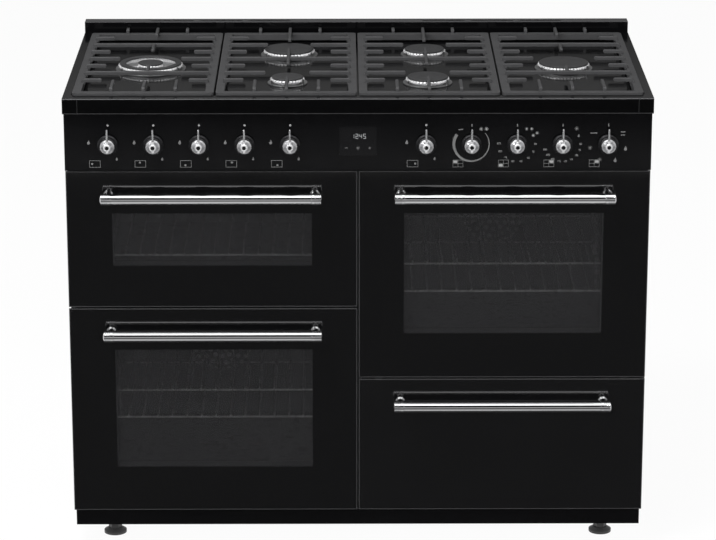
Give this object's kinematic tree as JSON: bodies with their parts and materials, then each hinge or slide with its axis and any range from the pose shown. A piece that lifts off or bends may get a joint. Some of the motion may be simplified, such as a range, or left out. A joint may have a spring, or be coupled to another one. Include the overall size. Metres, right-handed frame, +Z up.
{
  "type": "range cooker",
  "caption": "Wide range cooker with a gas hob, drop-down oven doors with windows, a grill oven and a storage drawer.",
  "frame": {"origin": "on the floor, under the middle of the cooker's bounding box", "axes": "+X to the right seen from the front, +Y from the doors to the wall, +Z up"},
  "size_m": [1.1, 0.6238, 0.9215],
  "materials": {
    "enamel": "gloss black enamel",
    "hob_enamel": "gloss black enamel",
    "galvanised": "galvanised steel sheet",
    "oven_enamel": "grey speckled oven enamel",
    "foot_iron": "satin black steel",
    "clock_glass": "gloss dark display window",
    "seal": "woven door seal",
    "rack_chrome": "chromed wire",
    "burner_alloy": "polished alloy",
    "burner_cup": "satin alloy",
    "cap_enamel": "matt black enamel",
    "brass": "machined",
    "control_body": "moulded",
    "element": "sheathed heating element",
    "fan_steel": "zinc plated steel",
    "door_glass": "dark printed gloss glass with a clear window",
    "door_steel": "dark enamelled pressing",
    "handle_chrome": "polished chrome",
    "drawer_enamel": "gloss black enamel",
    "cast_iron": "matt enamelled cast iron",
    "knob_chrome": "polished chrome"
  },
  "bodies": {
    "root": {"side_panels": "enamel", "back_panel": "galvanised", "front_frame": "enamel", "base_pan": "galvanised", "plinth": "enamel", "levelling_feet": "foot_iron", "worktop": "hob_enamel", "rear_upstand": "enamel", "control_panel": "enamel", "clock": "clock_glass", "grill_oven_cavity": "oven_enamel", "left_oven_cavity": "oven_enamel", "right_oven_cavity": "oven_enamel", "door_seals": "seal", "hinge_brackets": "galvanised", "oven_racks": "rack_chrome", "burner_cups": "burner_cup", "burner_crowns": "burner_alloy", "burner_caps": "cap_enamel", "gas_rail": "brass", "oven_controls": "control_body", "heating_elements": "element", "fan_covers": "oven_enamel", "fan_motors": "fan_steel", "drawer_runners": "galvanised"},
    "grill_door": {"grill_door_glass": "door_glass", "grill_door_frame": "door_steel", "grill_door_handle": "handle_chrome"},
    "left_door": {"left_door_glass": "door_glass", "left_door_frame": "door_steel", "left_door_handle": "handle_chrome"},
    "right_door": {"right_door_glass": "door_glass", "right_door_frame": "door_steel", "right_door_handle": "handle_chrome"},
    "drawer": {"drawer_front": "drawer_enamel", "drawer_box": "galvanised", "drawer_handle": "handle_chrome"},
    "left_fan": {"left_oven_fan": "fan_steel"},
    "right_fan": {"right_oven_fan": "fan_steel"},
    "support_far_left": {"pan_support_far_left": "cast_iron"},
    "support_mid_left": {"pan_support_mid_left": "cast_iron"},
    "support_mid_right": {"pan_support_mid_right": "cast_iron"},
    "support_far_right": {"pan_support_far_right": "cast_iron"},
    "plug_1": {"tap_plug_1": "brass"},
    "plug_2": {"tap_plug_2": "brass"},
    "plug_3": {"tap_plug_3": "brass"},
    "plug_4": {"tap_plug_4": "brass"},
    "plug_5": {"tap_plug_5": "brass"},
    "plug_6": {"tap_plug_6": "brass"},
    "dial_1": {"knob_1": "knob_chrome"},
    "dial_2": {"knob_2": "knob_chrome"},
    "dial_3": {"knob_3": "knob_chrome"},
    "dial_4": {"knob_4": "knob_chrome"},
    "dial_5": {"knob_5": "knob_chrome"},
    "dial_6": {"knob_6": "knob_chrome"},
    "dial_7": {"knob_7": "knob_chrome"},
    "dial_8": {"knob_8": "knob_chrome"},
    "dial_9": {"knob_9": "knob_chrome"},
    "dial_10": {"knob_10": "knob_chrome"}
  },
  "joints": [
    {"name": "grill_door_drop", "type": "hinge", "parent": "root", "child": "grill_door", "pos_m": [-0.275, -0.26093, 0.4997], "axis": [1, 0, 0], "range_deg": [0, 90]},
    {"name": "left_door_drop", "type": "hinge", "parent": "root", "child": "left_door", "pos_m": [-0.275, -0.26093, 0.0882], "axis": [1, 0, 0], "range_deg": [0, 90]},
    {"name": "right_door_drop", "type": "hinge", "parent": "root", "child": "right_door", "pos_m": [0.275, -0.26093, 0.3577], "axis": [1, 0, 0], "range_deg": [0, 90]},
    {"name": "drawer_slide", "type": "slide", "parent": "root", "child": "drawer", "axis": [0, -1, 0], "range_m": [0, 0.4]},
    {"name": "left_fan_spin", "type": "hinge", "parent": "root", "child": "left_fan", "pos_m": [-0.275, 0.16187, 0.2817], "axis": [0, 1, 0], "continuous": true},
    {"name": "right_fan_spin", "type": "hinge", "parent": "root", "child": "right_fan", "pos_m": [0.275, 0.16187, 0.5512], "axis": [0, 1, 0], "continuous": true},
    {"name": "far_left_support_lift", "type": "slide", "parent": "root", "child": "support_far_left", "axis": [0, 0, 1], "range_m": [0, 0.06]},
    {"name": "mid_left_support_lift", "type": "slide", "parent": "root", "child": "support_mid_left", "axis": [0, 0, 1], "range_m": [0, 0.06]},
    {"name": "mid_right_support_lift", "type": "slide", "parent": "root", "child": "support_mid_right", "axis": [0, 0, 1], "range_m": [0, 0.06]},
    {"name": "far_right_support_lift", "type": "slide", "parent": "root", "child": "support_far_right", "axis": [0, 0, 1], "range_m": [0, 0.06]},
    {"name": "gas_1_turn", "type": "hinge", "parent": "root", "child": "plug_1", "pos_m": [-0.467, -0.25212, 0.81], "axis": [0, -1, 0], "range_deg": [0, 210]},
    {"name": "gas_1_push", "type": "slide", "parent": "plug_1", "child": "dial_1", "axis": [0, 1, 0], "range_m": [0, 0.004], "stiffness_N_per_m": 900},
    {"name": "gas_2_turn", "type": "hinge", "parent": "root", "child": "plug_2", "pos_m": [-0.382, -0.25212, 0.81], "axis": [0, -1, 0], "range_deg": [0, 210]},
    {"name": "gas_2_push", "type": "slide", "parent": "plug_2", "child": "dial_2", "axis": [0, 1, 0], "range_m": [0, 0.004], "stiffness_N_per_m": 900},
    {"name": "gas_3_turn", "type": "hinge", "parent": "root", "child": "plug_3", "pos_m": [-0.297, -0.25212, 0.81], "axis": [0, -1, 0], "range_deg": [0, 210]},
    {"name": "gas_3_push", "type": "slide", "parent": "plug_3", "child": "dial_3", "axis": [0, 1, 0], "range_m": [0, 0.004], "stiffness_N_per_m": 900},
    {"name": "gas_4_turn", "type": "hinge", "parent": "root", "child": "plug_4", "pos_m": [-0.212, -0.25212, 0.81], "axis": [0, -1, 0], "range_deg": [0, 210]},
    {"name": "gas_4_push", "type": "slide", "parent": "plug_4", "child": "dial_4", "axis": [0, 1, 0], "range_m": [0, 0.004], "stiffness_N_per_m": 900},
    {"name": "gas_5_turn", "type": "hinge", "parent": "root", "child": "plug_5", "pos_m": [-0.127, -0.25212, 0.81], "axis": [0, -1, 0], "range_deg": [0, 210]},
    {"name": "gas_5_push", "type": "slide", "parent": "plug_5", "child": "dial_5", "axis": [0, 1, 0], "range_m": [0, 0.004], "stiffness_N_per_m": 900},
    {"name": "gas_6_turn", "type": "hinge", "parent": "root", "child": "plug_6", "pos_m": [0.127, -0.25212, 0.81], "axis": [0, -1, 0], "range_deg": [0, 210]},
    {"name": "gas_6_push", "type": "slide", "parent": "plug_6", "child": "dial_6", "axis": [0, 1, 0], "range_m": [0, 0.004], "stiffness_N_per_m": 900},
    {"name": "grill_dial_turn", "type": "hinge", "parent": "root", "child": "dial_7", "pos_m": [0.212, -0.27613, 0.81], "axis": [0, -1, 0], "range_deg": [-210, 0]},
    {"name": "left_oven_dial_turn", "type": "hinge", "parent": "root", "child": "dial_8", "pos_m": [0.297, -0.27613, 0.81], "axis": [0, -1, 0], "range_deg": [-270, 0]},
    {"name": "right_oven_dial_turn", "type": "hinge", "parent": "root", "child": "dial_9", "pos_m": [0.382, -0.27613, 0.81], "axis": [0, -1, 0], "range_deg": [-270, 0]},
    {"name": "function_dial_turn", "type": "hinge", "parent": "root", "child": "dial_10", "pos_m": [0.467, -0.27613, 0.81], "axis": [0, -1, 0], "continuous": true}
  ]
}
